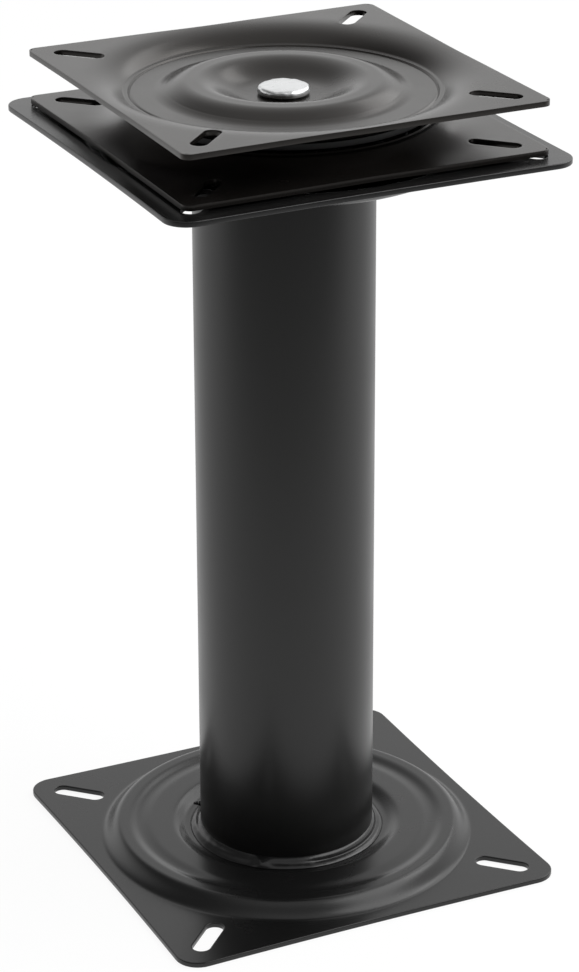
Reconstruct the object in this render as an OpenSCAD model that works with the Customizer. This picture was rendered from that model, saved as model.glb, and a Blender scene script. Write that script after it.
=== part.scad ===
// Boat seat pedestal with a ball-bearing seat swivel, in millimetres.
// The origin is on the floor under the column's axis, and +Z runs up the column.
// The corners of the square plates lie on the X and Y axes, so their slots run along X and Y.

/* [Overall] */
// Height from the floor to the seat face
pedestal_h = 388.5; // [250:0.5:700]

/* [Column] */
// Outside diameter of the tube
column_d = 84.5; // [60:0.5:92]
// Wall of the tube
column_wall = 2; // [1.2:0.1:4]
// Width of the fillet welds along the plates
weld_w = 4.5; // [3:0.1:6]
// Height of the fillet welds up the tube
weld_h = 4.1; // [2.5:0.1:6]

/* [Floor and mount plates] */
// Side of the square plates
plate_side = 198; // [170:1:260]
// Thickness of their sheet
plate_t = 2.6; // [2:0.1:4]
// Radius of their corners
plate_corner_r = 12; // [4:0.5:20]
// How far pressing has drawn in the middle of each edge
plate_draw_in = 1.3; // [0.5:0.1:2]
// From the middle of each side in to the foot of the ring bead
bead_inset = 7.5; // [5:0.1:10]
// Height of the bead's crest above the corners
bead_h = 7; // [4:0.5:8]
// Height of the valley inside the bead, above the corners
valley_h = 5.6; // [3:0.1:6]
// Height of the shelf inside the valley, above the corners
shelf_h = 6.2; // [3.5:0.1:7]
// Height of the land that the tube stands on, above the corners
land_h = 3; // [1:0.1:3.5]
// Width of the flat land outside the tube
land_w = 6.2; // [6:0.1:8]
// Share of the pressed band, from the land to the bead's foot, that is the slope up from the land
land_slope_share = 0.197; // [0.12:0.001:0.22]
// Share of the band that slopes from the shelf down to the valley
shelf_slope_share = 0.139; // [0.1:0.001:0.16]
// Share of the band that slopes from the valley up to the crest
valley_slope_share = 0.139; // [0.1:0.001:0.16]
// Share of the band that is the bead's crest
crest_share = 0.081; // [0.04:0.001:0.12]
// Share of the band that is the bead's outer flank
flank_share = 0.232; // [0.18:0.001:0.3]
// From the bead's foot out to each slot
slot_foot_gap = 6; // [3:0.1:8]
// Length of the slots
plate_slot_l = 26.2; // [16:0.1:27]
// Width of the slots
plate_slot_w = 8.7; // [6.5:0.1:11]
// Diameter of the centre hole inside the tube
centre_hole_d = 30; // [12:1:50]

/* [Swivel plates] */
// How far the mount plate reaches past the swivel plates on each side
swivel_margin = 10; // [6:0.5:14]
// Thickness of their sheet
swivel_t = 2.5; // [2:0.1:3.5]
// Height over both swivel plates
swivel_h = 25.1; // [22:0.1:32]
// Radius of their corners
swivel_corner_r = 4.5; // [3:0.5:12]
// How far pressing has drawn in the middle of each edge
swivel_draw_in = 0.7; // [0.4:0.1:1.5]
// Gap between the lower swivel plate and the mount plate, filled by the weld pads
pad_t = 1.1; // [0.6:0.1:3]
// Diameter of the weld pads
pad_d = 9; // [5:0.5:10]
// Space between a pad and the bead's foot
pad_foot_gap = 5.1; // [3:0.1:6]
// Space between a pad and the side of a slot
pad_slot_gap = 1.5; // [0.5:0.1:2]
// From the middle of each side in to the rim, where the dish starts to fall
rim_inset = 3; // [2:0.1:6]
// From the rim out to each slot
slot_rim_gap = 1.2; // [0.8:0.1:4]
// Length of the slots
swivel_slot_l = 24.6; // [14:0.1:26]
// Width of the slots
swivel_slot_w = 8.1; // [6.5:0.1:10]
// Width of the dish's slope, from the rim down to the lip
dish_slope_w = 13.6; // [11:0.1:15]
// How fast that slope flattens out towards the rim
flare_power = 1.8; // [1.4:0.1:2.4]
// Width of the lip round the race
lip_w = 1.6; // [0.8:0.1:3]
// Height of the lip above the race
lip_step = 1; // [0.5:0.1:1.5]
// Width of the race between its two steps
race_w = 14.4; // [13:0.1:15]
// Height of the inner step, at the toe of the raised ring
toe_step = 0.3; // [0.2:0.1:1]
// Run of the inner step
toe_w = 2; // [1:0.1:3]
// Run of the step up to the lip
step_w = 0.9; // [0.7:0.1:1.3]
// Width of the raised ring's outer flank
ring_flank_w = 8.3; // [7:0.1:11]
// Width of the raised ring's crest
crest_w = 6; // [3:0.1:8]
// Depth of the crest below the corners
crest_depth = 2; // [1:0.1:4]
// Radius of the flat round the pivot
pivot_flat_r = 17; // [15:0.5:20]

/* [Ball race] */
// Diameter of the balls
ball_d = 7; // [5:0.1:8]
// How many balls
ball_count = 24; // [8:1:36]
// Depth of each groove that the balls run in
groove_depth = 0.55; // [0.3:0.05:0.8]
// Gap all round a ball in its grooves
ball_gap = 0.1; // [0.02:0.01:0.2]
// Thickness of the plastic cage
cage_t = 3; // [2:0.1:3.5]
// Width of the plastic cage
cage_w = 12.4; // [10:0.1:13]
// Gap round a ball in its pocket of the cage
pocket_gap = 0.2; // [0.1:0.05:0.5]

/* [Pivot] */
// Diameter of the rivet's shank
shank_d = 12; // [8:0.5:14]
// Diameter of the rivet's head
head_d = 24; // [20:0.5:28]
// Thickness of the rivet's head at its rim
head_t = 3.5; // [2:0.1:5]
// Rise of the head's crown in its middle
head_crown = 0.3; // [0.1:0.1:1]
// Rounding of the head's rim
head_round = 0.9; // [0.4:0.1:1.6]
// Diameter of the washer under the head
head_washer_d = 20; // [16:0.5:22]
// Thickness of that washer
head_washer_t = 0.5; // [0.3:0.1:1]
// Diameter of the plastic washer between the plates
thrust_d = 28; // [20:0.5:30]
// Thickness of that plastic washer
thrust_t = 1.9; // [1:0.1:4]
// Wall of the plastic sleeve in the upper plate
bush_wall = 1.5; // [1:0.1:2.5]
// Diameter of the washer under the lower plate
tail_washer_d = 22; // [18:0.5:30]
// Thickness of the washer under the lower plate
tail_washer_t = 1.5; // [0.8:0.1:2]
// Diameter of the rivet's headed tail
tail_d = 18; // [15:0.5:22]
// Height of the rivet's headed tail
tail_h = 2.4; // [1.5:0.1:3]
// Radial running clearance between the rivet and what turns on it
running_gap = 0.05; // [0.02:0.01:0.1]
// Upright clearance between faces that turn past each other
thrust_gap = 0.1; // [0.05:0.01:0.3]
// Radial gap round the shank where nothing turns
seat_gap = 0.02; // [0.01:0.01:0.1]

/* [Hidden] */
$fn = 128;
// How far a cut runs past the faces it cuts
over = 1;

black = "#202021";
zinc = "#dcdcdc";
nylon = "#e4e0d4";
bright = "#b9bbbd";

// Stand pressing: radii from the outside in
column_r = column_d / 2;
land_r = column_r + land_w;
bead_foot_r = plate_side / 2 - bead_inset;
band_w = bead_foot_r - land_r;
bead_crest_out_r = bead_foot_r - flank_share * band_w;
bead_crest_in_r = bead_crest_out_r - crest_share * band_w;
valley_r = bead_crest_in_r - valley_slope_share * band_w;
shelf_r = valley_r - shelf_slope_share * band_w;
land_top_r = land_r + land_slope_share * band_w;
plate_slot_at = bead_foot_r + slot_foot_gap + plate_slot_l / 2;

// Swivel pressings: radii from the outside in
swivel_side = plate_side - 2 * swivel_margin;
rim_r = swivel_side / 2 - rim_inset;
lip_r = rim_r - dish_slope_w;
race_out_r = lip_r - lip_w - step_w;
race_in_r = race_out_r - race_w;
toe_r = race_in_r - toe_w;
crest_out_r = toe_r - ring_flank_w;
crest_in_r = crest_out_r - crest_w;
ball_ring_r = (race_in_r + race_out_r) / 2;
swivel_slot_at = rim_r + slot_rim_gap + swivel_slot_l / 2;

// Swivel pressings: depths below the flat corners
swivel_mid_z = pedestal_h - swivel_h / 2;
race_depth = (swivel_h - ball_d) / 2 + groove_depth - swivel_t;
lip_depth = race_depth - lip_step;
toe_depth = race_depth - toe_step;
pivot_depth = (swivel_h - thrust_t - thrust_gap) / 2 - swivel_t;

// Levels of the stand
mount_z = pedestal_h - swivel_h - pad_t - plate_t;
tube_z = plate_t + land_h;
tube_l = mount_z - land_h - tube_z;

// Levels at the pivot
upper_pivot_top = swivel_mid_z + (thrust_t + thrust_gap) / 2 + swivel_t;
lower_pivot_top = swivel_mid_z - (thrust_t + thrust_gap) / 2;
lower_pivot_bottom = lower_pivot_top - swivel_t;
head_z = upper_pivot_top + thrust_gap + head_washer_t;
tail_z = lower_pivot_bottom - tail_washer_t;
shank_r = shank_d / 2;
bush_r = shank_r + running_gap + bush_wall;

// Smooth rise from 0 to 1 as t goes from 0 to 1
function ease(t) = t <= 0 ? 0 : t >= 1 ? 1 : (1 - cos(180 * t)) / 2;
// The same rise between two radii
function rise(r, from_r, to_r) = ease((r - from_r) / (to_r - from_r));
// Rise that starts steeply at one radius and flattens out at the other
function flare(r, from_r, to_r) =
  r <= from_r ? 0 : r >= to_r ? 1 : 1 - pow((to_r - r) / (to_r - from_r), flare_power);
// Radii from one to another in a number of equal steps, without the last
function span(from_r, to_r, steps) =
  [for (i = [0 : steps - 1]) from_r + (to_r - from_r) * i / steps];
// Points of an arc
function arc(x, y, r, from_a, to_a, steps) =
  [for (i = [0 : steps]) let (a = from_a + (to_a - from_a) * i / steps) [x + r * cos(a), y + r * sin(a)]];

// Height of the stand pressing above its flat corners
function bead_height(r) =
  land_h
  + (shelf_h - land_h) * rise(r, land_r, land_top_r)
  - (shelf_h - valley_h) * rise(r, shelf_r, valley_r)
  + (bead_h - valley_h) * rise(r, valley_r, bead_crest_in_r)
  - bead_h * rise(r, bead_crest_out_r, bead_foot_r);

// Depth of the swivel pressing below its flat corners
function dish_depth(r) =
  pivot_depth
  - (pivot_depth - crest_depth) * rise(r, pivot_flat_r, crest_in_r)
  + (toe_depth - crest_depth) * rise(r, crest_out_r, toe_r)
  + toe_step * rise(r, toe_r, race_in_r)
  - lip_step * rise(r, race_out_r, race_out_r + step_w)
  - lip_depth * flare(r, lip_r, rim_r);

// Square outline with round corners and slightly drawn-in edges, its corners on the axes
module plate_outline(side, corner_r, draw_in, h) {
  reach = side / 2 - corner_r;
  bow_r = (pow(side / 2, 2) + pow(draw_in, 2)) / (2 * draw_in);
  rotate([0, 0, 45])
    difference() {
      union() {
        translate([-side / 2, -reach, 0]) cube([side, 2 * reach, h]);
        translate([-reach, -side / 2, 0]) cube([2 * reach, side, h]);
        for (x = [-reach, reach])
          for (y = [-reach, reach])
            translate([x, y, 0]) cylinder(r = corner_r, h = h);
      }
      for (a = [0 : 90 : 270])
        rotate([0, 0, a])
          translate([side / 2 - draw_in + bow_r, 0, -over])
            cylinder(r = bow_r, h = h + 2 * over, $fn = 720);
    }
}

// Slot with round ends that runs outwards along X
module slot(at, l, w, h) {
  reach = (l - w) / 2;
  translate([at - reach, 0, 0]) cylinder(d = w, h = h);
  translate([at + reach, 0, 0]) cylinder(d = w, h = h);
  translate([at - reach, -w / 2, 0]) cube([2 * reach, w, h]);
}

// Sheet turned about the axis, from its upper and lower lines, each from the inside out
module turned_sheet(upper, lower) {
  back = [for (i = [len(lower) - 1 : -1 : 0]) lower[i]];
  rotate_extrude() polygon(concat(upper, back));
}

// Pressed square plate of the stand, flat side down, corners' underside at z = 0
module stand_pressing() {
  deep = 3 * plate_t + 2 * bead_h;
  radii = concat(
    [centre_hole_d / 2],
    span(land_r, land_top_r, 8),
    [land_top_r],
    span(shelf_r, valley_r, 6),
    span(valley_r, bead_crest_in_r, 6),
    [bead_crest_in_r],
    span(bead_crest_out_r, bead_foot_r, 12),
    [bead_foot_r, plate_side]
  );
  difference() {
    intersection() {
      turned_sheet(
        [for (r = radii) [r, plate_t + bead_height(r)]],
        [for (r = radii) [r, bead_height(r)]]
      );
      translate([0, 0, -plate_t]) plate_outline(plate_side, plate_corner_r, plate_draw_in, deep);
    }
    for (a = [0 : 90 : 270])
      rotate([0, 0, a])
        translate([0, 0, -plate_t]) slot(plate_slot_at, plate_slot_l, plate_slot_w, deep);
  }
}

// Upper pressing of the swivel about the swivel's middle plane, with a pivot hole
module swivel_pressing(hole_r) {
  face_z = swivel_h / 2;
  inner = concat(
    [hole_r],
    span(pivot_flat_r, crest_in_r, 12),
    [crest_in_r],
    span(crest_out_r, toe_r, 8),
    span(toe_r, race_in_r, 3),
    [race_in_r]
  );
  outer = concat(
    span(race_out_r, race_out_r + step_w, 3),
    [race_out_r + step_w],
    span(lip_r, rim_r, 10),
    [rim_r, swivel_side]
  );
  groove_r = ball_d / 2 + ball_gap;
  groove_a = asin((face_z - race_depth - swivel_t) / groove_r);
  difference() {
    intersection() {
      turned_sheet(
        [for (r = concat(inner, outer)) [r, face_z - dish_depth(r)]],
        concat(
          [for (r = inner) [r, face_z - dish_depth(r) - swivel_t]],
          arc(ball_ring_r, 0, groove_r, 180 - groove_a, groove_a, 6),
          [for (r = outer) [r, face_z - dish_depth(r) - swivel_t]]
        )
      );
      plate_outline(swivel_side, swivel_corner_r, swivel_draw_in, face_z + over);
    }
    for (a = [0 : 90 : 270])
      rotate([0, 0, a]) slot(swivel_slot_at, swivel_slot_l, swivel_slot_w, face_z + over);
  }
}

// Fillet weld ring that stands on z = 0 round the tube
module weld_ring() {
  rotate_extrude()
    polygon(concat(
      [[column_r, 0]],
      [for (a = [0 : 15 : 90]) [column_r + weld_w * cos(a), weld_h * sin(a)]]
    ));
}

module ring(outer_r, inner_r, h) {
  difference() {
    cylinder(r = outer_r, h = h);
    translate([0, 0, -over]) cylinder(r = inner_r, h = h + 2 * over);
  }
}

module base_plate() {
  color(black) stand_pressing();
}

module column_tube() {
  color(black) translate([0, 0, tube_z]) ring(column_r, column_r - column_wall, tube_l);
}

module foot_weld() {
  color(black) translate([0, 0, tube_z]) weld_ring();
}

module head_weld() {
  color(black) translate([0, 0, tube_z + tube_l]) mirror([0, 0, 1]) weld_ring();
}

module mount_plate() {
  color(black) translate([0, 0, mount_z + plate_t]) mirror([0, 0, 1]) stand_pressing();
}

// Two pads beside each slot, on the flat corners
module swivel_weld_pads() {
  pad_out = max(bead_foot_r, rim_r) + pad_d / 2 + pad_foot_gap;
  pad_aside = max(plate_slot_w, swivel_slot_w) / 2 + pad_d / 2 + pad_slot_gap;
  color(black)
    for (a = [0 : 90 : 270])
      for (side = [-1, 1])
        rotate([0, 0, a])
          translate([pad_out, side * pad_aside, mount_z + plate_t]) cylinder(d = pad_d, h = pad_t);
}

module swivel_lower_plate() {
  color(black)
    translate([0, 0, swivel_mid_z]) mirror([0, 0, 1]) swivel_pressing(shank_r + seat_gap);
}

module swivel_upper_plate() {
  color(black) translate([0, 0, swivel_mid_z]) swivel_pressing(bush_r);
}

module bearing_balls() {
  color(bright)
    for (i = [0 : ball_count - 1])
      rotate([0, 0, 360 * i / ball_count])
        translate([ball_ring_r, 0, swivel_mid_z]) sphere(d = ball_d, $fn = 48);
}

module ball_cage() {
  color(black)
    difference() {
      translate([0, 0, swivel_mid_z - cage_t / 2])
        ring(ball_ring_r + cage_w / 2, ball_ring_r - cage_w / 2, cage_t);
      for (i = [0 : ball_count - 1])
        rotate([0, 0, 360 * i / ball_count])
          translate([ball_ring_r, 0, swivel_mid_z - cage_t])
            cylinder(d = ball_d + 2 * pocket_gap, h = 2 * cage_t, $fn = 48);
    }
}

// Headed rivet: crowned head with a round rim, shank, and the tail headed over its washer
module pivot_rivet() {
  head_r = head_d / 2;
  tail_r = tail_d / 2;
  color(zinc)
    rotate_extrude()
      polygon(concat(
        [[0, tail_z - tail_h], [tail_r - tail_h / 2, tail_z - tail_h]],
        [[tail_r, tail_z - tail_h / 2], [tail_r, tail_z], [shank_r, tail_z], [shank_r, head_z]],
        [[head_r - head_round / 2, head_z], [head_r, head_z + head_round / 2]],
        arc(head_r - head_round, head_z + head_t - head_round, head_round, 0, 90, 6),
        [[head_r / 2, head_z + head_t + 3 * head_crown / 4], [0, head_z + head_t + head_crown]]
      ));
}

module head_washer() {
  color(bright)
    translate([0, 0, head_z - head_washer_t])
      ring(head_washer_d / 2, shank_r + seat_gap, head_washer_t);
}

module thrust_washer() {
  color(nylon)
    translate([0, 0, lower_pivot_top]) ring(thrust_d / 2, shank_r + seat_gap, thrust_t);
}

module pivot_bush() {
  color(nylon)
    translate([0, 0, upper_pivot_top - swivel_t]) ring(bush_r, shank_r + running_gap, swivel_t);
}

module tail_washer() {
  color(bright)
    translate([0, 0, tail_z]) ring(tail_washer_d / 2, shank_r + seat_gap, tail_washer_t);
}

base_plate();
column_tube();
foot_weld();
head_weld();
mount_plate();
swivel_weld_pads();
swivel_lower_plate();
swivel_upper_plate();
bearing_balls();
ball_cage();
pivot_rivet();
head_washer();
thrust_washer();
pivot_bush();
tail_washer();
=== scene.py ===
import math

import bmesh
import bpy
from mathutils import Matrix, Vector, noise


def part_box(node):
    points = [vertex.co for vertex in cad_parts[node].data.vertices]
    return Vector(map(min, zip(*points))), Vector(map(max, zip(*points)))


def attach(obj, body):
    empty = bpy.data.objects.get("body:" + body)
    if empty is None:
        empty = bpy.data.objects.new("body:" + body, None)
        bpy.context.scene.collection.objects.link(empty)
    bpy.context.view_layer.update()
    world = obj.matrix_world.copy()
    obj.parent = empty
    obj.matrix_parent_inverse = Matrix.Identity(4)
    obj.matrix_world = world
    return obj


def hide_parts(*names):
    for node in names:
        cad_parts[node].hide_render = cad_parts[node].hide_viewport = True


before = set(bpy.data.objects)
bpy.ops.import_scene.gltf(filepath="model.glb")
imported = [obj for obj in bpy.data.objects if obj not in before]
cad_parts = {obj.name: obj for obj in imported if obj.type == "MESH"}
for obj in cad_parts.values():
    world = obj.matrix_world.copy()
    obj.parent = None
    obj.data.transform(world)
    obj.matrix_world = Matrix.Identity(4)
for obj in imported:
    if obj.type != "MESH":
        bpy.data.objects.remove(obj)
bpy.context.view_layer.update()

metre = 1000  # meshes are shaped in millimetres, and scaled to metres when finished
around = 192  # steps of a full turn on the large round forms


# Lowest and highest level of a CAD node, and how far it reaches from the axis
def extent(node):
    low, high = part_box(node)
    return low.z * metre, high.z * metre, high.x * metre


def linear(hexColour):
    channels = [int(hexColour[i:i + 2], 16) / 255 for i in (1, 3, 5)]
    return [c / 12.92 if c <= 0.04045 else ((c + 0.055) / 1.055) ** 2.4 for c in channels] + [1]


# Adds a node, sets its properties, and fills or links its inputs, which are named or numbered
def addNode(tree, kind, inputs, **settings):
    node = tree.nodes.new(kind)
    for name, value in settings.items():
        setattr(node, name, value)
    for socket, value in inputs.items():
        if isinstance(value, bpy.types.NodeSocket):
            tree.links.new(value, node.inputs[socket])
        else:
            node.inputs[socket].default_value = value
    return node


def newTree(name):
    material = bpy.data.materials.new(name)
    material.use_nodes = True
    material.node_tree.nodes.clear()
    return material, material.node_tree


colourA, colourB, colourOut = 6, 7, 2  # sockets of a Mix node that mixes colours


# Powder coat is a baked film of plastic: satin, with a fine orange peel, on sheet that is never
# quite flat, so that its reflections waver a little. Dust lies baked in as sparse pale specks.
def powderCoat(name, look):
    material, tree = newTree(name)
    place = addNode(tree, "ShaderNodeTexCoord", {}).outputs["Object"]
    patches = addNode(tree, "ShaderNodeTexNoise", {
        "Vector": place, "Scale": metre / look["patchWidth"], "Detail": 4})
    wave = addNode(tree, "ShaderNodeTexNoise", {
        "Vector": place, "Scale": metre / look["waveWidth"], "Detail": 1})
    peel = addNode(tree, "ShaderNodeTexNoise", {
        "Vector": place, "Scale": metre / look["peelWidth"], "Detail": 2})
    specks = addNode(tree, "ShaderNodeTexVoronoi", {
        "Vector": place, "Scale": metre / look["speckSpacing"]})
    speckMask = addNode(tree, "ShaderNodeMapRange", {
        "Value": specks.outputs["Distance"], "From Min": 0.02, "From Max": 0.04,
        "To Min": look["speckAmount"], "To Max": 0})
    film = addNode(tree, "ShaderNodeMix", {
        0: patches.outputs["Fac"], colourA: linear(look["dark"]), colourB: linear(look["light"])},
        data_type="RGBA")
    dusty = addNode(tree, "ShaderNodeMix", {
        0: speckMask.outputs["Result"], colourA: film.outputs[colourOut],
        colourB: linear(look["dust"])}, data_type="RGBA")
    sheen = addNode(tree, "ShaderNodeMapRange", {
        "Value": patches.outputs["Fac"], "From Min": 0.3, "From Max": 0.7,
        "To Min": look["roughness"] - look["roughnessSpread"],
        "To Max": look["roughness"] + look["roughnessSpread"]})
    waveBump = addNode(tree, "ShaderNodeBump", {
        "Height": wave.outputs["Fac"], "Distance": look["waveHeight"] / metre})
    peelBump = addNode(tree, "ShaderNodeBump", {
        "Height": peel.outputs["Fac"], "Distance": look["peelHeight"] / metre,
        "Normal": waveBump.outputs["Normal"]})
    shader = addNode(tree, "ShaderNodeBsdfPrincipled", {
        "Base Color": dusty.outputs[colourOut], "Roughness": sheen.outputs["Result"],
        "IOR": look["ior"], "Specular Tint": linear(look["gloss"]),
        "Normal": peelBump.outputs["Normal"]})
    addNode(tree, "ShaderNodeOutputMaterial", {"Surface": shader.outputs["BSDF"]})
    return material


# Bright zinc on steel: a thin bluish grey plating with a fine matte grain and small rubbed spots
def zincPlate(name, look):
    material, tree = newTree(name)
    place = addNode(tree, "ShaderNodeTexCoord", {}).outputs["Object"]
    blotches = addNode(tree, "ShaderNodeTexNoise", {
        "Vector": place, "Scale": metre / look["blotchWidth"], "Detail": 3})
    grain = addNode(tree, "ShaderNodeTexNoise", {
        "Vector": place, "Scale": metre / look["grainWidth"], "Detail": 2})
    metal = addNode(tree, "ShaderNodeMix", {
        0: blotches.outputs["Fac"], colourA: linear(look["dark"]), colourB: linear(look["light"])},
        data_type="RGBA")
    sheen = addNode(tree, "ShaderNodeMapRange", {
        "Value": blotches.outputs["Fac"], "From Min": 0.3, "From Max": 0.7,
        "To Min": look["roughness"] - look["roughnessSpread"],
        "To Max": look["roughness"] + look["roughnessSpread"]})
    bump = addNode(tree, "ShaderNodeBump", {
        "Height": grain.outputs["Fac"], "Distance": look["grainHeight"] / metre})
    shader = addNode(tree, "ShaderNodeBsdfPrincipled", {
        "Base Color": metal.outputs[colourOut], "Metallic": 1,
        "Roughness": sheen.outputs["Result"], "Normal": bump.outputs["Normal"]})
    addNode(tree, "ShaderNodeOutputMaterial", {"Surface": shader.outputs["BSDF"]})
    return material


# Moulded nylon: faintly cloudy, with a soft satin skin
def mouldedNylon(name, look):
    material, tree = newTree(name)
    place = addNode(tree, "ShaderNodeTexCoord", {}).outputs["Object"]
    clouds = addNode(tree, "ShaderNodeTexNoise", {
        "Vector": place, "Scale": metre / look["cloudWidth"], "Detail": 3})
    skin = addNode(tree, "ShaderNodeTexNoise", {
        "Vector": place, "Scale": metre / look["grainWidth"], "Detail": 2})
    body = addNode(tree, "ShaderNodeMix", {
        0: clouds.outputs["Fac"], colourA: linear(look["dark"]), colourB: linear(look["light"])},
        data_type="RGBA")
    bump = addNode(tree, "ShaderNodeBump", {
        "Height": skin.outputs["Fac"], "Distance": look["grainHeight"] / metre})
    shader = addNode(tree, "ShaderNodeBsdfPrincipled", {
        "Base Color": body.outputs[colourOut], "Roughness": look["roughness"], "IOR": 1.53,
        "Normal": bump.outputs["Normal"]})
    addNode(tree, "ShaderNodeOutputMaterial", {"Surface": shader.outputs["BSDF"]})
    return material


standFinish = {
    "dark": "#101010", "light": "#161616", "dust": "#4a4845", "gloss": "#ffffff",
    "roughness": 0.26, "roughnessSpread": 0.03, "ior": 1.5,
    "patchWidth": 45, "waveWidth": 60, "waveHeight": 0.12,
    "peelWidth": 1.6, "peelHeight": 0.006,
    "speckSpacing": 9, "speckAmount": 0.25,
}
blackOnPressedSteel = powderCoat("satin black powder coat on pressed steel", standFinish)
blackOnTube = powderCoat("satin black powder coat on drawn tube", {
    **standFinish, "dark": "#131313", "light": "#191918", "roughness": 0.32,
    "waveHeight": 0.05})
blackOnWeld = powderCoat("satin black powder coat on a weld bead", {
    **standFinish, "roughness": 0.2, "waveWidth": 5, "waveHeight": 0.12})
blackOnSwivel = powderCoat("satin black powder coat on the swivel's pressings", {
    **standFinish, "dark": "#141211", "light": "#1a1816", "gloss": "#fffaf5", "roughness": 0.25})
rivetZinc = zincPlate("bright zinc plate on a headed steel rivet", {
    "dark": "#d2d3d4", "light": "#e9eaea", "roughness": 0.3, "roughnessSpread": 0.05,
    "blotchWidth": 5, "grainWidth": 0.5, "grainHeight": 0.01})
washerZinc = zincPlate("dull zinc plate on a stamped steel washer", {
    "dark": "#9c9c9e", "light": "#b9babc", "roughness": 0.38, "roughnessSpread": 0.05,
    "blotchWidth": 6, "grainWidth": 0.5, "grainHeight": 0.01})
ballSteel = zincPlate("ground and polished bearing steel", {
    "dark": "#c3c5c8", "light": "#cfd0d2", "roughness": 0.1, "roughnessSpread": 0.03,
    "blotchWidth": 3, "grainWidth": 0.4, "grainHeight": 0.001})
nylon = mouldedNylon("moulded natural nylon", {
    "dark": "#d9d3c2", "light": "#e8e3d5", "roughness": 0.42,
    "cloudWidth": 12, "grainWidth": 0.6, "grainHeight": 0.01})
blackNylon = mouldedNylon("moulded black nylon", {
    "dark": "#0b0b0b", "light": "#121212", "roughness": 0.5,
    "cloudWidth": 12, "grainWidth": 0.6, "grainHeight": 0.01})
print("materials ready")


def ease(t):
    return (1 - math.cos(math.pi * min(max(t, 0), 1))) / 2


def rise(r, start, end):
    return ease((r - start) / (end - start))


# Radii from one to another about a step apart, without the last
def radii(start, end, step):
    count = max(1, round(abs(end - start) / step))
    return [start + (end - start) * i / count for i in range(count)]


# Turns a line of (radius, level) points about the axis
def turn(bm, points, closed=False, steps=around):
    row = [bm.verts.new((r, 0, z)) for r, z in points]
    pairs = list(zip(row, row[1:])) + ([(row[-1], row[0])] if closed else [])
    edges = [bm.edges.new(pair) for pair in pairs]
    bmesh.ops.spin(bm, geom=row + edges, cent=(0, 0, 0), axis=(0, 0, 1), angle=2 * math.pi,
                   steps=steps, use_merge=True)
    bmesh.ops.remove_doubles(bm, verts=bm.verts, dist=0.0005)


# Rounds the edges where faces meet at more than this angle
def roundEdges(bm, width, segments=3, angle=math.radians(60)):
    edges = [e for e in bm.edges if len(e.link_faces) == 2 and e.calc_face_angle() > angle]
    bmesh.ops.bevel(bm, geom=edges, offset=width, offset_type="OFFSET", segments=segments,
                    profile=0.5, affect="EDGES", clamp_overlap=True, material=-1)


# Square with round corners on the axes, its edges drawn in a little in the middle
def squareLoop(bm, side, cornerRadius, drawIn):
    corners = bmesh.ops.create_circle(
        bm, cap_ends=True, segments=4, radius=side / math.sqrt(2))["verts"]
    bmesh.ops.bevel(bm, geom=corners, offset=cornerRadius, offset_type="OFFSET", segments=10,
                    profile=0.5, affect="VERTICES", material=-1)
    sides = [e for e in bm.edges if e.calc_length() > cornerRadius]
    bmesh.ops.subdivide_edges(bm, edges=sides, cuts=31)
    turned = Matrix.Rotation(math.radians(45), 3, "Z")
    bmesh.ops.rotate(bm, verts=bm.verts, matrix=turned)
    half = side / 2
    for v in bm.verts:
        x, y = v.co.x, v.co.y
        v.co.x -= x / half * drawIn * (1 - (y / half) ** 2)
        v.co.y -= y / half * drawIn * (1 - (x / half) ** 2)
    bmesh.ops.rotate(bm, verts=bm.verts, matrix=turned.inverted())


# Round-ended slot that runs outwards at each of the four corners
def slotLoops(bm, at, length, width):
    steps = 32
    for quarter in range(4):
        halfStep = Matrix.Rotation(math.pi / steps, 4, "Z")
        ring = bmesh.ops.create_circle(
            bm, cap_ends=True, segments=steps, radius=width / 2, matrix=halfStep)["verts"]
        for v in ring:
            v.co.x += at + math.copysign((length - width) / 2, v.co.x)
        bmesh.ops.rotate(bm, verts=ring, matrix=Matrix.Rotation(quarter * math.pi / 2, 3, "Z"))


# Fills the flat between loops that were made as faces, with a narrow strip along each loop
def fillBetween(bm, strip, longest):
    bmesh.ops.delete(bm, geom=bm.faces[:], context="FACES_ONLY")
    bmesh.ops.triangle_fill(bm, edges=bm.edges[:], use_beauty=True, normal=(0, 0, 1))
    for _ in range(3):
        edges = [e for e in bm.edges if not e.is_boundary and e.calc_length() > longest]
        bmesh.ops.subdivide_edges(bm, edges=edges, cuts=1)
        bmesh.ops.triangulate(bm, faces=bm.faces[:])
    bmesh.ops.inset_region(bm, faces=bm.faces[:], use_boundary=True, use_even_offset=True,
                           thickness=strip)


# Gives an open sheet its thickness downwards, and returns the lower corners
def thicken(bm, thickness):
    made = bmesh.ops.extrude_face_region(bm, geom=bm.faces[:], use_keep_orig=True)["geom"]
    lower = [v for v in made if isinstance(v, bmesh.types.BMVert)]
    bmesh.ops.translate(bm, verts=lower, vec=(0, 0, -thickness))
    bmesh.ops.recalc_face_normals(bm, faces=bm.faces)
    return lower


# Pressed square plate: flat corners at level 0, a turned form inside, and four slots
def pressedPlate(shape, formRadii, heightAt):
    bm = bmesh.new()
    squareLoop(bm, shape["side"], shape["cornerRadius"], shape["drawIn"])
    slotLoops(bm, shape["slotAt"], shape["slotLength"], shape["slotWidth"])
    bmesh.ops.create_circle(bm, cap_ends=True, segments=around, radius=formRadii[-1])
    fillBetween(bm, shape["edgeStrip"], shape["longest"])
    for v in bm.verts:
        if math.hypot(v.co.x, v.co.y) < formRadii[-1] + 0.01:
            v.co.z = heightAt(formRadii[-1])
    turn(bm, [(r, heightAt(r)) for r in formRadii])
    lower = thicken(bm, shape["thickness"])
    return bm, lower


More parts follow.
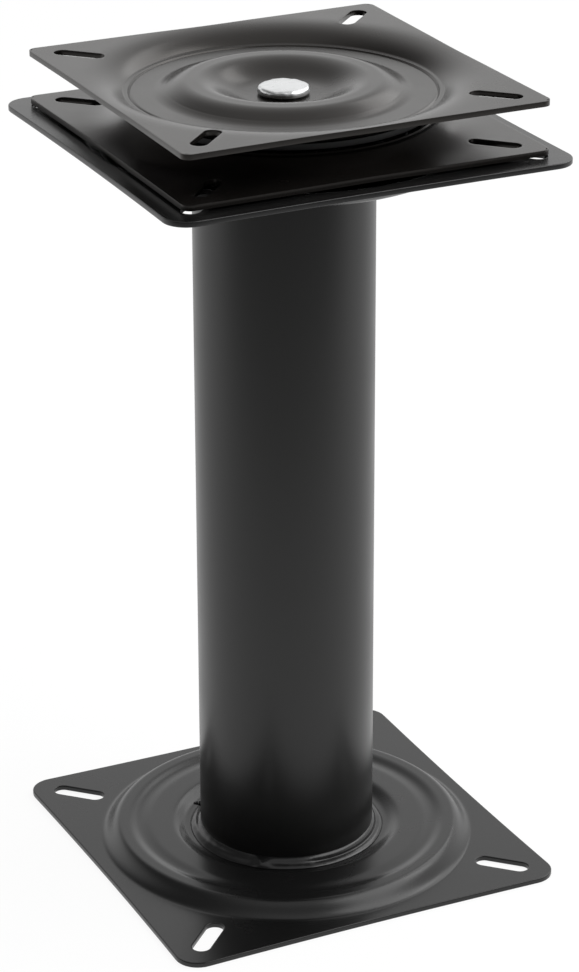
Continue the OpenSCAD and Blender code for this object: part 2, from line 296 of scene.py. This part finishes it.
# Puts a shaped mesh into the scene in place of its CAD node
def finishPiece(bm, name, node, body, material, lift=0, flip=False):
    if flip:
        bmesh.ops.scale(bm, vec=(1, 1, -1), verts=bm.verts)
    bmesh.ops.translate(bm, verts=bm.verts, vec=(0, 0, lift))
    bmesh.ops.recalc_face_normals(bm, faces=bm.faces)
    bmesh.ops.scale(bm, vec=(1 / metre,) * 3, verts=bm.verts)
    mesh = bpy.data.meshes.new(name)
    bm.to_mesh(mesh)
    bm.free()
    for face in mesh.polygons:
        face.use_smooth = True
    mesh.materials.append(material)
    piece = bpy.data.objects.new(name, mesh)
    bpy.context.scene.collection.objects.link(piece)
    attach(piece, body)
    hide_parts(node)
    print(name, "shaped:", len(mesh.polygons), "faces")
    return piece


# Floor plate and mount plate
standPlate = {
    "thickness": 2.6, "cornerRadius": 12, "drawIn": 1.3,
    "beadInset": 7.5, "landWidth": 6.2,
    "landSlope": 0.197, "shelfSlope": 0.139, "valleySlope": 0.139,  # shares of the pressed band
    "crest": 0.081, "flank": 0.232,
    "beadHeight": 7, "valleyHeight": 5.6, "shelfHeight": 6.2, "landHeight": 3,
    "slotGap": 6, "slotLength": 26.2, "slotWidth": 8.7, "centreHole": 30,
    "edgeStrip": 0.6, "edgeRound": 0.5, "step": 1.2, "longest": 40,
}
plateLow, plateHigh, plateReach = extent("base_plate")
tubeLow, tubeHigh, tubeRadius = extent("column_tube")
mountLow, mountHigh, _ = extent("mount_plate")

s = standPlate
s["side"] = (plateReach + s["cornerRadius"] * (math.sqrt(2) - 1)) * math.sqrt(2)
landRadius = tubeRadius + s["landWidth"]
beadFoot = s["side"] / 2 - s["beadInset"]
band = beadFoot - landRadius
crestOuter = beadFoot - s["flank"] * band
crestInner = crestOuter - s["crest"] * band
valley = crestInner - s["valleySlope"] * band
shelf = valley - s["shelfSlope"] * band
landTop = landRadius + s["landSlope"] * band
s["slotAt"] = beadFoot + s["slotGap"] + s["slotLength"] / 2


def beadHeight(r):
    return (s["landHeight"]
            + (s["shelfHeight"] - s["landHeight"]) * rise(r, landRadius, landTop)
            - (s["shelfHeight"] - s["valleyHeight"]) * rise(r, shelf, valley)
            + (s["beadHeight"] - s["valleyHeight"]) * rise(r, valley, crestInner)
            - s["beadHeight"] * rise(r, crestOuter, beadFoot))


def standPressing():
    form = (radii(s["centreHole"] / 2, landRadius, 4) + radii(landRadius, landTop, s["step"] / 2)
            + radii(landTop, shelf, 2) + radii(shelf, crestInner, s["step"] / 2)
            + radii(crestInner, beadFoot, s["step"] / 2) + [beadFoot])
    bm, lower = pressedPlate(s, form, beadHeight)
    roundEdges(bm, s["edgeRound"])
    return bm


finishPiece(standPressing(), "floorPlate", "base_plate", "stand", blackOnPressedSteel,
            lift=s["thickness"])
finishPiece(standPressing(), "mountPlate", "mount_plate", "stand", blackOnPressedSteel,
            lift=mountHigh - s["thickness"], flip=True)


# Column tube
tube = {"wall": 2, "edgeRound": 0.3}
bm = bmesh.new()
inner = tubeRadius - tube["wall"]
turn(bm, [(inner, tubeLow), (tubeRadius, tubeLow), (tubeRadius, tubeHigh), (inner, tubeHigh)],
     closed=True)
roundEdges(bm, tube["edgeRound"])
finishPiece(bm, "columnTube", "column_tube", "stand", blackOnTube)


# Welds at the foot and the head of the tube
weld = {
    "width": 5.2, "height": 4.1, "steps": 480,
    "waver": 0.35, "waverLength": 16,   # slow wander of the two toes
    "ripple": 0.02, "rippleLength": 3,  # small waves that the torch left
    "groove": 0.9, "grooveShare": 0.48,  # sunk line along the part on the right of the photograph
    # drops of spatter: angle, reach from the axis, level and radius
    "spatter": [(187, 43.6, 5.6, 1.5), (185.5, 45.6, 4.9, 1.1), (184.5, 46.9, 4.2, 0.8)],
    "hollow": 1.7,                      # dip along the middle of the bead
    "overlapAt": -86, "overlapHeight": 1.6, "overlapReach": 5,  # where the run ends on its start
}


def weldBead(seed):
    bm = bmesh.new()
    arc = [math.radians(a) for a in range(0, 91, 6)]
    points = [(tubeRadius - 0.2, 0)] + [
        (tubeRadius + weld["width"] * math.cos(a), weld["height"] * math.sin(a)) for a in arc]
    points.append((tubeRadius - 0.2, weld["height"]))
    turn(bm, points, closed=True, steps=weld["steps"])
    for v in bm.verts:
        r = math.hypot(v.co.x, v.co.y)
        out = r - tubeRadius
        if out < -0.1:
            continue
        turnAngle = math.atan2(v.co.y, v.co.x)
        share = math.atan2(v.co.z / weld["height"], max(out, 0) / weld["width"]) / (math.pi / 2)
        onRing = Vector((v.co.x, v.co.y, seed)) / weld["waverLength"]
        wander = weld["waver"] * noise.noise(onRing + Vector((0, 0, share)))
        ripple = weld["ripple"] * math.sin(
            turnAngle * tubeRadius / weld["rippleLength"] * 2 * math.pi / 2 + 1.5 * share)
        dip = -weld["hollow"] * math.sin(math.pi * share)
        side = rise(math.degrees(turnAngle), -62, -40) - rise(math.degrees(turnAngle), 40, 90)
        dip -= weld["groove"] * side * math.exp(-((share - weld["grooveShare"]) / 0.22) ** 2)
        away = math.degrees(turnAngle) - weld["overlapAt"]
        lump = weld["overlapHeight"] * math.exp(-(away / weld["overlapReach"]) ** 2) \
            * math.sin(math.pi * (0.15 + 0.85 * share))
        grow = 1 + (wander + ripple + dip + lump) / weld["width"]
        scale = (tubeRadius + out * grow) / r
        v.co = Vector((v.co.x * scale, v.co.y * scale, v.co.z * grow))
    return bm


bm = weldBead(1)
for angle, reach, level, radius in weld["spatter"]:
    spot = Matrix.Rotation(math.radians(angle), 4, "Z") @ Matrix.Translation((reach, 0, level))
    bmesh.ops.create_icosphere(bm, subdivisions=2, radius=radius, matrix=spot)
finishPiece(bm, "footWeld", "foot_weld", "stand", blackOnWeld, lift=tubeLow)
finishPiece(weldBead(7), "headWeld", "head_weld", "stand", blackOnWeld, lift=tubeHigh, flip=True)


# Swivel plates
swivelPlate = {
    "thickness": 2.5, "cornerRadius": 4.5, "drawIn": 0.7,
    "rimInset": 3, "dishSlope": 13.6, "lipWidth": 1.6, "lipStep": 0.3,
    "flareEnd": 95, "flarePower": 3,  # the dish flattens out slowly, a little into the corners
    "raceWidth": 14.4, "toeRun": 2, "stepRun": 0.9,
    "witness": 0.6, "witnessWidth": 0.45,  # sharp line that the press leaves at the step's foot
    "toeLine": 0.05, "toeLineWidth": 0.5,  # and a faint one where the ring's flank begins
    "ringFlank": 8.3, "flankIn": 1.7, "flankOut": 6,  # the flank eases out into the race
    "crestWidth": 6, "crestDepth": 2, "pivotFlat": 17,
    "slotGap": 1.2, "slotLength": 24.6, "slotWidth": 8.1,
    "ball": 7, "grooveDepth": 0.55, "ballGap": 0.1, "thrust": 2,
    "edgeStrip": 0.8, "edgeRound": 0.3, "step": 1.2, "longest": 4,
}
swivelLow = extent("swivel_lower_plate")[0]
_, swivelHigh, swivelReach = extent("swivel_upper_plate")

p = swivelPlate
p["side"] = (swivelReach + p["cornerRadius"] * (math.sqrt(2) - 1)) * math.sqrt(2)
rim = p["side"] / 2 - p["rimInset"]
lip = rim - p["dishSlope"]
raceOut = lip - p["lipWidth"] - p["stepRun"]
raceIn = raceOut - p["raceWidth"]
toe = raceIn - p["toeRun"]
crestOut = toe - p["ringFlank"]
crestIn = crestOut - p["crestWidth"]
ballRing = (raceIn + raceOut) / 2
p["slotAt"] = rim + p["slotGap"] + p["slotLength"] / 2
bothPlates = swivelHigh - swivelLow
raceDepth = (bothPlates - p["ball"]) / 2 + p["grooveDepth"] - p["thickness"]
pivotDepth = (bothPlates - p["thrust"]) / 2 - p["thickness"]
grooveRadius = p["ball"] / 2 + p["ballGap"]
grooveSag = grooveRadius - p["grooveDepth"] - p["ballGap"]


def dishHeight(r):
    return -(pivotDepth
             - (pivotDepth - p["crestDepth"]) * rise(r, p["pivotFlat"], crestIn)
             + (raceDepth - p["crestDepth"]) * rise(r, crestOut - p["flankIn"], toe + p["flankOut"])
             + p["toeLine"] * math.exp(-((r - toe) / p["toeLineWidth"]) ** 2)
             + p["witness"] * math.exp(-((r - raceOut) / p["witnessWidth"]) ** 2)
             - p["lipStep"] * rise(r, raceOut, raceOut + p["stepRun"])
             - (raceDepth - p["lipStep"]) * (1 - flare(r)))


# What is left of the dish's depth on its slope
def flare(r):
    t = (r - lip) / (p["flareEnd"] - lip)
    return (1 - min(max(t, 0), 1)) ** p["flarePower"]


def swivelPressing(holeRadius):
    fine = p["stepRun"] / 6
    form = (radii(holeRadius, p["pivotFlat"], 2) + radii(p["pivotFlat"], crestIn, p["step"])
            + radii(crestIn, toe, p["step"] / 2) + radii(toe, raceIn, fine)
            + radii(raceIn, raceOut, 0.6) + radii(raceOut, raceOut + p["stepRun"], fine)
            + radii(raceOut + p["stepRun"], lip, 0.45) + radii(lip, rim, p["step"] / 2) + [rim])
    bm, lower = pressedPlate(p, form, dishHeight)
    for v in bm.verts:
        r = math.hypot(v.co.x, v.co.y)
        if r > rim + 0.01:
            v.co.z += dishHeight(r)
    for v in lower:
        off = math.hypot(v.co.x, v.co.y) - ballRing
        if abs(off) < grooveRadius:
            v.co.z += max(0, math.sqrt(grooveRadius ** 2 - off ** 2) - grooveSag)
    roundEdges(bm, p["edgeRound"])
    return bm


shank, runningGap, seatGap, bushWall = 6, 0.05, 0.02, 1.5
finishPiece(swivelPressing(shank + seatGap), "lowerSwivelPlate", "swivel_lower_plate", "stand",
            blackOnSwivel, lift=swivelLow, flip=True)
finishPiece(swivelPressing(shank + runningGap + bushWall), "upperSwivelPlate",
            "swivel_upper_plate", "seat_plate", blackOnSwivel, lift=swivelHigh)


# Ball ring
ballRace = {"count": 24, "cageThickness": 3, "cageWidth": 12.4, "pocketGap": 0.2}
swivelMiddle = (swivelLow + swivelHigh) / 2

bm = bmesh.new()
bmesh.ops.create_uvsphere(bm, u_segments=24, v_segments=14, radius=p["ball"] / 2,
                          matrix=Matrix.Translation((ballRing, 0, swivelMiddle)))
pitch = 2 * math.pi / ballRace["count"]
bmesh.ops.spin(bm, geom=bm.verts[:] + bm.edges[:] + bm.faces[:], cent=(0, 0, 0),
               axis=(0, 0, 1), angle=2 * math.pi - pitch, steps=ballRace["count"] - 1,
               use_duplicate=True)
finishPiece(bm, "bearingBalls", "bearing_balls", "ball_ring", ballSteel)

bm = bmesh.new()
for edge in (-1, 1):
    bmesh.ops.create_circle(bm, cap_ends=True, segments=around,
                            radius=ballRing + edge * ballRace["cageWidth"] / 2)
for i in range(ballRace["count"]):
    centre = Matrix.Rotation(i * pitch, 4, "Z") @ Matrix.Translation((ballRing, 0, 0))
    bmesh.ops.create_circle(bm, cap_ends=True, segments=32, matrix=centre,
                            radius=p["ball"] / 2 + ballRace["pocketGap"])
fillBetween(bm, 0.5, 40)
thicken(bm, ballRace["cageThickness"])
roundEdges(bm, 0.3)
finishPiece(bm, "ballCage", "ball_cage", "ball_ring", blackNylon,
            lift=swivelMiddle + ballRace["cageThickness"] / 2)


# Pivot rivet with its washers and sleeve
rivet = {
    "head": 24, "headThickness": 3.5, "crown": 0.3, "headRound": 2,
    "tail": 18, "tailHeight": 2.4,
    "dent": 0.35, "dentWidth": 4,  # small flats and dents that the heading tool left on the rim
}
rivetLow, rivetHigh, _ = extent("pivot_rivet")
headLow = rivetHigh - rivet["crown"] - rivet["headThickness"]
tailTop = rivetLow + rivet["tailHeight"]
headRadius, tailRadius = rivet["head"] / 2, rivet["tail"] / 2

bm = bmesh.new()
bend = rivet["headRound"]
rimArc = [(headRadius - bend + bend * math.cos(a), headLow + rivet["headThickness"] - bend
           + bend * math.sin(a)) for a in (math.radians(d) for d in range(0, 91, 10))]
crown = [(r, rivetHigh - rivet["crown"] * (r / (headRadius - bend)) ** 2)
         for r in radii(headRadius - bend - 1, 0, 1.4)]
turn(bm, [(0, rivetLow)] + [(r, rivetLow) for r in (2.5, 5, tailRadius - 1.2)]
     + [(tailRadius, rivetLow + 1.2), (tailRadius, tailTop), (shank, tailTop), (shank, headLow)]
     + [(headRadius - 0.5, headLow), (headRadius, headLow + 0.5)] + rimArc + crown
     + [(0, rivetHigh)], steps=96)
for v in bm.verts:
    r = math.hypot(v.co.x, v.co.y)
    if v.co.z > headLow + 0.1 and r > 0.1:
        onRim = noise.noise(v.co / rivet["dentWidth"]) * rivet["dent"]
        v.co.x -= v.co.x / r * abs(onRim) * rise(r, headRadius - 4, headRadius)
        v.co.y -= v.co.y / r * abs(onRim) * rise(r, headRadius - 4, headRadius)
        v.co.z -= abs(onRim) * rise(r, 0, headRadius - 3)
finishPiece(bm, "pivotRivet", "pivot_rivet", "stand", rivetZinc)


# Flat turned ring in place of a CAD node, with softened edges
def flatRing(name, node, body, material, innerRadius, edgeRound):
    low, high, outerRadius = extent(node)
    bm = bmesh.new()
    turn(bm, [(innerRadius, low), (outerRadius, low), (outerRadius, high), (innerRadius, high)],
         closed=True, steps=96)
    roundEdges(bm, edgeRound, segments=2)
    return finishPiece(bm, name, node, body, material)


flatRing("headWasher", "head_washer", "stand", washerZinc, shank + seatGap, 0.12)
flatRing("thrustWasher", "thrust_washer", "stand", nylon, shank + seatGap, 0.3)
flatRing("tailWasher", "tail_washer", "stand", washerZinc, shank + seatGap, 0.2)
flatRing("pivotSleeve", "pivot_bush", "seat_plate", nylon, shank + runningGap, 0.15)


# Weld pads between the mount plate and the swivel
pads = {"diameter": 9, "footGap": 5.1, "slotGap": 1.5, "edgeRound": 0.25}
padLow, padHigh, _ = extent("swivel_weld_pads")
padOut = max(beadFoot, rim) + pads["diameter"] / 2 + pads["footGap"]
padAside = max(s["slotWidth"], p["slotWidth"]) / 2 + pads["diameter"] / 2 + pads["slotGap"]
bm = bmesh.new()
for quarter in range(4):
    for hand in (-1, 1):
        place = Matrix.Rotation(quarter * math.pi / 2, 4, "Z") @ Matrix.Translation(
            (padOut, hand * padAside, (padLow + padHigh) / 2))
        bmesh.ops.create_cone(bm, cap_ends=True, segments=40, radius1=pads["diameter"] / 2,
                              radius2=pads["diameter"] / 2, depth=padHigh - padLow, matrix=place)
roundEdges(bm, pads["edgeRound"], segments=2)
finishPiece(bm, "weldPads", "swivel_weld_pads", "stand", blackOnWeld)


# Camera at the angle that the photograph was solved to
view = {
    "azimuth": 19.4, "elevation": 23.01, "roll": -0.22, "distance": 1.632,
    "target": (0, 0, 0.1984), "lens": 128.1, "shift": (0.0046, -0.0242),
}
lens = bpy.data.cameras.new("photoView")
lens.sensor_fit = "AUTO"
lens.sensor_width = 36
lens.lens = view["lens"]
lens.shift_x, lens.shift_y = view["shift"]
lens.clip_end = 100
camera = bpy.data.objects.new("photoView", lens)
azimuth, elevation = math.radians(view["azimuth"]), math.radians(view["elevation"])
backwards = Vector((math.sin(azimuth) * math.cos(elevation),
                    -math.cos(azimuth) * math.cos(elevation), math.sin(elevation)))
camera.location = Vector(view["target"]) + backwards * view["distance"]
aim = backwards.to_track_quat("Z", "Y").to_matrix().to_4x4()
camera.rotation_euler = (aim @ Matrix.Rotation(math.radians(view["roll"]), 4, "Z")).to_euler()
bpy.context.scene.collection.objects.link(camera)
bpy.context.scene.camera = camera
bpy.context.scene.view_settings.view_transform = "Standard"

# Studio as the photograph's reflections show it: a white ground and a white wall behind, a dark
# room behind the photographer and up on the left, and a large soft box up on the right
studio = {
    "floorSize": 12, "floorColour": "#e9e9e9", "floorKeep": 0.15, "floorShown": 1.06,
    "frontFloor": 0.4, "frontFrom": 0.1, "frontTo": 0.9,  # how far the ground darkens in front
    "sky": [(0, 1.1), (0.3, 1.1), (0.45, 1), (0.75, 0.9), (0.94, 0.65)],  # by sine of height
    "leftShade": 0.8, "frontShade": 0.85,
}
toRight = Vector((math.cos(azimuth), math.sin(azimuth), 0))
toFront = Vector((math.sin(azimuth), -math.cos(azimuth), 0))

# White ground: white to the camera, and part of its own shading is kept for the soft shadow
floorMaterial, tree = newTree("matt white studio floor")
rays = addNode(tree, "ShaderNodeLightPath", {})
seen = addNode(tree, "ShaderNodeMath", {
    0: rays.outputs["Is Camera Ray"], 1: rays.outputs["Is Glossy Ray"]}, operation="MAXIMUM")
seen = addNode(tree, "ShaderNodeMath", {
    0: seen.outputs[0], 1: rays.outputs["Is Transmission Ray"]}, operation="MAXIMUM")
share = addNode(tree, "ShaderNodeMath", {
    0: seen.outputs[0], 1: 1 - studio["floorKeep"]}, operation="MULTIPLY")
place = addNode(tree, "ShaderNodeTexCoord", {}).outputs["Object"]
ahead = addNode(tree, "ShaderNodeVectorMath", {0: place, 1: toFront}, operation="DOT_PRODUCT")
fall = addNode(tree, "ShaderNodeMapRange", {
    "Value": ahead.outputs["Value"], "From Min": studio["frontFrom"],
    "From Max": studio["frontTo"], "To Min": 1, "To Max": studio["frontFloor"]})
shown = addNode(tree, "ShaderNodeMath", {
    0: rays.outputs["Is Camera Ray"], 1: studio["floorShown"]}, operation="MULTIPLY")
level = addNode(tree, "ShaderNodeMath", {
    0: fall.outputs["Result"], 1: shown.outputs[0]}, operation="MAXIMUM")
matt = addNode(tree, "ShaderNodeBsdfDiffuse", {"Color": linear(studio["floorColour"])})
glow = addNode(tree, "ShaderNodeEmission", {"Color": (1, 1, 1, 1), "Strength": level.outputs[0]})
floorMix = addNode(tree, "ShaderNodeMixShader", {
    0: share.outputs[0], 1: matt.outputs["BSDF"], 2: glow.outputs["Emission"]})
addNode(tree, "ShaderNodeOutputMaterial", {"Surface": floorMix.outputs["Shader"]})

bm = bmesh.new()
bmesh.ops.create_grid(bm, x_segments=1, y_segments=1, size=studio["floorSize"] / 2)
floorMesh = bpy.data.meshes.new("studioFloor")
bm.to_mesh(floorMesh)
bm.free()
floorMesh.materials.append(floorMaterial)
studioFloor = bpy.data.objects.new("studioFloor", floorMesh)
bpy.context.scene.collection.objects.link(studioFloor)

# Surround, shaded towards the front and up on the left, and plain white where the camera sees it
world = bpy.data.worlds.new("studioSurround")
world.use_nodes = True
bpy.context.scene.world = world
tree = world.node_tree
tree.nodes.clear()
rays = addNode(tree, "ShaderNodeLightPath", {})
direction = addNode(tree, "ShaderNodeTexCoord", {}).outputs["Generated"]
height = addNode(tree, "ShaderNodeSeparateXYZ", {0: direction}).outputs["Z"]
sky = addNode(tree, "ShaderNodeValToRGB", {0: height})
ramp = sky.color_ramp
while len(ramp.elements) < len(studio["sky"]):
    ramp.elements.new(0.5)
for element, (position, brightness) in zip(ramp.elements, studio["sky"]):
    element.position = position
    element.color = (brightness,) * 3 + (1,)
shades = []
for away, fromSide, toSide, fromHeight, toHeight, depth in (
        (-toRight, 0.1, 0.6, 0.3, 0.6, studio["leftShade"]),
        (toFront, 0.1, 0.6, 0.92, 0.7, studio["frontShade"])):
    side = addNode(tree, "ShaderNodeVectorMath", {0: direction, 1: away}, operation="DOT_PRODUCT")
    across = addNode(tree, "ShaderNodeMapRange", {
        "Value": side.outputs["Value"], "From Min": fromSide, "From Max": toSide,
        "To Max": depth}, interpolation_type="SMOOTHSTEP")
    upwards = addNode(tree, "ShaderNodeMapRange", {
        "Value": height, "From Min": fromHeight, "From Max": toHeight})
    shades.append(addNode(tree, "ShaderNodeMath", {
        0: across.outputs["Result"], 1: upwards.outputs["Result"]},
        operation="MULTIPLY").outputs[0])
shade = addNode(tree, "ShaderNodeMath", {0: shades[0], 1: shades[1]}, operation="MAXIMUM")
room = addNode(tree, "ShaderNodeMix", {
    0: shade.outputs[0], colourA: sky.outputs["Color"], colourB: (0, 0, 0, 1)}, data_type="RGBA")
shown = addNode(tree, "ShaderNodeMix", {
    0: rays.outputs["Is Camera Ray"], colourA: room.outputs[colourOut],
    colourB: (1, 1, 1, 1)}, data_type="RGBA")
light = addNode(tree, "ShaderNodeBackground", {"Color": shown.outputs[colourOut], "Strength": 1})
addNode(tree, "ShaderNodeOutputWorld", {"Surface": light.outputs["Background"]})


# Soft box at a bearing from the front towards the right, at an elevation, aimed at the object
def softBox(name, bearing, elevation, distance, size, power):
    lamp = bpy.data.lights.new(name, "AREA")
    lamp.shape = "RECTANGLE"
    lamp.size, lamp.size_y = size
    lamp.energy = power
    holder = bpy.data.objects.new(name, lamp)
    level = (toFront * math.cos(math.radians(bearing)) + toRight * math.sin(math.radians(bearing)))
    outwards = (level * math.cos(math.radians(elevation))
                + Vector((0, 0, math.sin(math.radians(elevation)))))
    holder.location = Vector((0, 0, 0.25)) + outwards * distance
    holder.rotation_euler = outwards.to_track_quat("Z", "Y").to_euler()
    bpy.context.scene.collection.objects.link(holder)


softBox("rightSoftBox", 85, 48, 2.2, (2.2, 1.3), 22)
softBox("backSoftBox", 135, 36, 2.2, (1.6, 1), 8)
print("studio ready")
